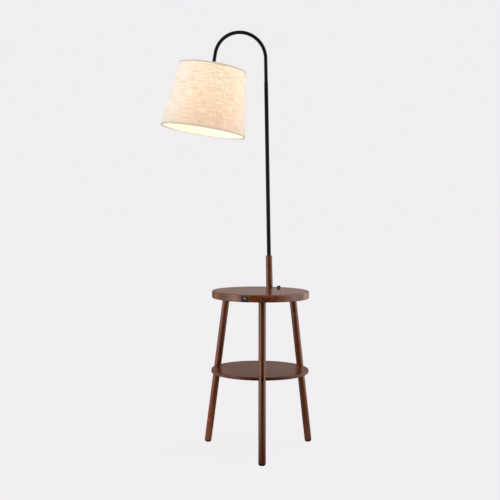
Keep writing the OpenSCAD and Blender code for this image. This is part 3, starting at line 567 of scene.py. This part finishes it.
def add_quad(bm, uv, verts, i, radius, v0, v1, flip):
    """Adds the face between steps i and i + 1. U is the length round at that radius, and V runs
    from v0, for the first two corners, to v1. flip turns the face over."""
    u0, u1 = (k / AROUND * math.tau * radius for k in (i, i + 1))
    corners = list(zip(verts, ((u0, v0), (u1, v0), (u1, v1), (u0, v1))))
    if flip:
        corners.reverse()
    face = bm.faces.new([vert for vert, _ in corners])
    for loop, (_, place) in zip(face.loops, corners):
        loop[uv].uv = place


def linen_shade():
    """The glued linen: a thin shell with a lapped seam at the back and slight unevenness."""
    up = 72
    wall = 0.0009
    # the outer face lies sink below the CAD's, except for the lap within half_lap of the seam
    sink, lap, half_lap, uneven = 0.00040, 0.00035, 0.006, 0.00012
    # how far the UVs run on over the cut edges
    edge = 0.001
    bm = bmesh.new()
    uv = bm.loops.layers.uv.new("UVMap")
    rings = []
    for side in (0, 1):
        for j in range(up + 1):
            down = SHADE_H * (1 - j / up)
            ring = []
            for i in range(AROUND):
                a = angle_at(i)
                r = shade_r(down) - side * wall
                if side == 0:
                    off = math.atan2(math.sin(a - SEAM), math.cos(a - SEAM)) * shade_r(down)
                    raised = lap if abs(off) < half_lap else 0.0
                    r += -sink + raised + uneven * ripple(a, 9 * down)
                ring.append(bm.verts.new(on_shade(r, a, down)))
            rings.append(ring)

    def band(low, high, v0, v1, flip=False):
        for i in range(AROUND):
            j = (i + 1) % AROUND
            verts = [low[i], low[j], high[j], high[i]]
            add_quad(bm, uv, verts, i, (TOP_R + LOW_R) / 2, v0, v1, flip)

    outer, inner = rings[:up + 1], rings[up + 1:]
    for j in range(up):
        v0, v1 = SLANT * j / up, SLANT * (j + 1) / up
        band(outer[j], outer[j + 1], v0, v1)
        band(inner[j], inner[j + 1], v0, v1, flip=True)
    band(inner[0], outer[0], 0.0, edge)
    band(outer[up], inner[up], SLANT, SLANT + edge)
    o = new_piece("linen_shade", bm, "arm")
    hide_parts("shade_linen")
    return o


FLAP_STEPS, FOLD_STEPS, INNER_STEPS = 6, 10, 5


def hem_profile(outer_h, inner_h):
    """The closed outline of a folded tape, as distances from the rim and outwards: down the outer
    flap, round the fold, along the inner flap, and back on the side that touches the shade."""
    # the tape's thickness, its gap outside, the depth that it is folded over, and the fold's roll
    wall, clear, stack, roll = 0.0006, 0.00006, 0.0049, 0.9
    face = wall + clear
    half = (face + stack + wall) / 2
    centre = face - half
    profile = [(outer_h * (1 - k / FLAP_STEPS), face) for k in range(FLAP_STEPS)]
    for k in range(FOLD_STEPS + 1):
        a = math.pi * k / FOLD_STEPS
        profile.append((-wall * math.sin(a) * roll, centre + half * math.cos(a)))
    inner = [inner_h * k / INNER_STEPS for k in range(INNER_STEPS + 1)]
    profile += [(d, -stack - wall) for d in inner[1:]]
    profile += [(d, -stack) for d in reversed(inner)]
    for k in range(1, INNER_STEPS + 1):
        profile.append((0.0, -stack + (stack + clear) * k / INNER_STEPS))
    profile += [(outer_h * k / FLAP_STEPS, clear) for k in range(1, FLAP_STEPS + 1)]
    return profile


def hem(name, node, down, way):
    """A folded tape over a rim, with a soft roll at the fold and an uneven outer edge. way is 1
    where the cloth lies below the rim, and -1 where it lies above."""
    outer_h, inner_h = 0.0068, 0.0045
    # how far the outer flap's edge strays up and down, and its face in and out
    stray, uneven = 0.00022, 0.00006
    bm = bmesh.new()
    uv = bm.loops.layers.uv.new("UVMap")
    profile = hem_profile(outer_h, inner_h)
    rings = []
    for i in range(AROUND):
        a = angle_at(i)
        ring = []
        for k, (d, out) in enumerate(profile):
            at_edge = 1.0 if abs(d) > outer_h * 0.9 else 0.0
            dd = d + stray * at_edge * ripple(3 * a, down * 40)
            r = shade_r(down + way * dd) + out
            if k < FLAP_STEPS:
                r += uneven * ripple(5 * a, 2.0 + k)
            ring.append(bm.verts.new(on_shade(r, a, down + way * dd)))
        rings.append(ring)
    v0 = 0.0
    for k, start in enumerate(profile):
        m = (k + 1) % len(profile)
        v1 = v0 + math.dist(start, profile[m])
        for i in range(AROUND):
            j = (i + 1) % AROUND
            verts = [rings[i][k], rings[j][k], rings[j][m], rings[i][m]]
            add_quad(bm, uv, verts, i, shade_r(down), v0, v1, way > 0)
        v0 = v1
    bmesh.ops.recalc_face_normals(bm, faces=bm.faces)
    o = new_piece(name, bm, "arm")
    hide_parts(node)
    return o


cloth = linen_shade()
hem_top = hem("hem_top", "shade_edge_top", 0.0, 1)
hem_bottom = hem("hem_bottom", "shade_edge_bottom", SHADE_H, -1)

LINEN = (0.50, 0.48, 0.45)
TAPE = (0.50, 0.47, 0.43)
# colours of the glow by V, as a share of SHADE_H. A tape's V starts at its outer edge.
LINEN_GLOW = [(0.0, (1.0, 0.65, 0.45)), (0.25, (1.0, 0.69, 0.48)), (0.48, (1.0, 0.73, 0.50)),
              (0.70, (1.0, 0.80, 0.58)), (1.0, (1.0, 0.83, 0.61))]
# tan outside and on the outer part of the fold, paler inside, where the bulb lights it
TAPE_GLOW = [(0.0, (1.0, 0.85, 0.65)), (0.036, (1.0, 0.85, 0.65)), (0.048, (1.30, 1.28, 1.16))]
# the tapes' finer and flatter weave
TAPE_PITCH, TAPE_DEEP = 0.0008, 0.8
# in each call, the colour after the glow table is that of the painted white highlight on the sides
dress(linen("linen", LINEN, LINEN_GLOW, (1.0, 0.88, 0.775), 0.54, 0.98, (TOP_R + LOW_R) / 2),
      cloth)
dress(linen("tape top", TAPE, TAPE_GLOW, (1.0, 0.86, 0.72), 0.40, 0.56, TOP_R,
            TAPE_PITCH, TAPE_DEEP), hem_top)
dress(linen("tape bottom", TAPE, TAPE_GLOW, (1.0, 0.88, 0.76), 0.36, 0.54, LOW_R,
            TAPE_PITCH, TAPE_DEEP), hem_bottom)


# ---------- floor, backdrop and light ----------

BACK = lin(240, 238, 241)
# brightness of the room round the lamp, by the direction in degrees: 0 is towards the camera, 90
# to the right of the picture, and 180 straight behind. FAR is the floor far out, NEAR the floor
# round the lamp, SKY the room level with it, and HIGH the room overhead.
FAR = {-180: 0.30, -150: 0.10, -130: 0.50, -105: 0.75, -85: 1.40, -65: 2.9, -45: 0.80,
       -20: 0.01, 20: 0.01, 45: 0.50, 65: 1.50, 85: 2.15, 105: 0.95, 130: 1.35, 150: 0.38,
       180: 0.30}
SKY = {**FAR, -130: 0.75, -85: 1.60, -65: 3.4, -45: 0.30, 45: 0.08, 65: 1.30, 105: 1.05}
HIGH = {-180: 0.10, -90: 0.30, 0: 0.60, 90: 1.0, 180: 0.10}
NEAR = {-180: 0.02, -90: 0.60, 0: 0.01, 90: 0.42, 180: 0.02}
SIDES = (1.0, 0.98, 0.90)
BEHIND = (1.0, 0.78, 0.70)
# where NEAR passes into FAR, as metres from the lamp, and SKY into HIGH, as the sine of the slope
NEAR_TO_FAR = (0.3, 2.6)
SKY_TO_HIGH = (0.40, 0.80)
FLOOR_HALF = 30.0
# the share of the floor that glows, how bright its glow is to the lamp beside the room's, and
# how bright it is to the camera beside the backdrop
GLOW_SHARE, GLOW_TO_LAMP, GLOW_TO_CAMERA = 0.93, 0.87, 1.04


def by_direction(t, x, y, levels):
    """One of the tables above as a shader number, for the direction x, y."""
    turn = t.math("ARCTAN2", x, t.mul(y, -1.0))
    ring = t.remap(turn, -math.pi, math.pi)
    top = max(levels.values())
    stops = [((deg + 180.0) / 360.0, (level / top,) * 3) for deg, level in sorted(levels.items())]
    return t.mul(t.ramp(ring, stops), top)


def blend(t, share, a, b):
    """The number a where share is 0, and b where it is 1."""
    return t.add(t.mul(a, t.sub(1.0, share)), t.mul(b, share))


def room_colour(t, x, y, level):
    """Light of that level: neutral from the sides, warmer from in front and behind."""
    tint = t.mix(t.math("DIVIDE", t.math("ABSOLUTE", x), t.length(x, y)), BEHIND, SIDES)
    return t.dimmed(tint, level)


def seen_by_camera(t):
    return t.node("ShaderNodeLightPath").outputs["Is Camera Ray"]


def floor():
    """A plain pale floor. The lamp sees it lit from the sides like the room round it."""
    bm = bmesh.new()
    bmesh.ops.create_grid(bm, x_segments=8, y_segments=8, size=FLOOR_HALF)
    mesh = bpy.data.meshes.new("floor")
    bm.to_mesh(mesh)
    bm.free()
    o = bpy.data.objects.new("floor", mesh)
    scene.collection.objects.link(o)
    mat, t = material("pale floor")
    at = t.coords()
    x, y, _ = t.split(at)
    diffuse = t.node("ShaderNodeBsdfDiffuse")
    shade = t.mix(t.noise(at, 2.0, 3.0, 0.5), times(BACK, 0.995), BACK)
    t.put(diffuse.inputs["Color"], shade)
    away = t.remap(t.length(x, y), *NEAR_TO_FAR, 0.0, 1.0, smooth=True)
    level = blend(t, away, by_direction(t, x, y, NEAR), by_direction(t, x, y, FAR))
    room = room_colour(t, x, y, t.mul(level, GLOW_TO_LAMP))
    glow = t.node("ShaderNodeEmission")
    plain = times(BACK, GLOW_TO_CAMERA)
    t.put(glow.inputs["Color"], t.mix(seen_by_camera(t), room, plain))
    mixer = t.node("ShaderNodeMixShader")
    mixer.inputs[0].default_value = GLOW_SHARE
    t.put(mixer.inputs[1], diffuse.outputs[0])
    t.put(mixer.inputs[2], glow.outputs[0])
    t.output(mixer.outputs[0])
    mesh.materials.append(mat)


def studio():
    """Soft light from far out left and right, a dim backdrop and a dark room behind the
    photographer. The camera itself sees the plain backdrop."""
    world = bpy.data.worlds.new("studio")
    scene.world = world
    world.use_nodes = True
    t = Tree(world.node_tree)
    x, y, z = t.split(t.coords("Generated"))
    high = t.remap(z, *SKY_TO_HIGH, 0.0, 1.0, smooth=True)
    level = blend(t, high, by_direction(t, x, y, SKY), by_direction(t, x, y, HIGH))
    back = t.node("ShaderNodeBackground")
    t.put(back.inputs["Color"], t.mix(seen_by_camera(t), room_colour(t, x, y, level), BACK))
    out = t.node("ShaderNodeOutputWorld")
    t.put(out.inputs["Surface"], back.outputs[0])


floor()
studio()
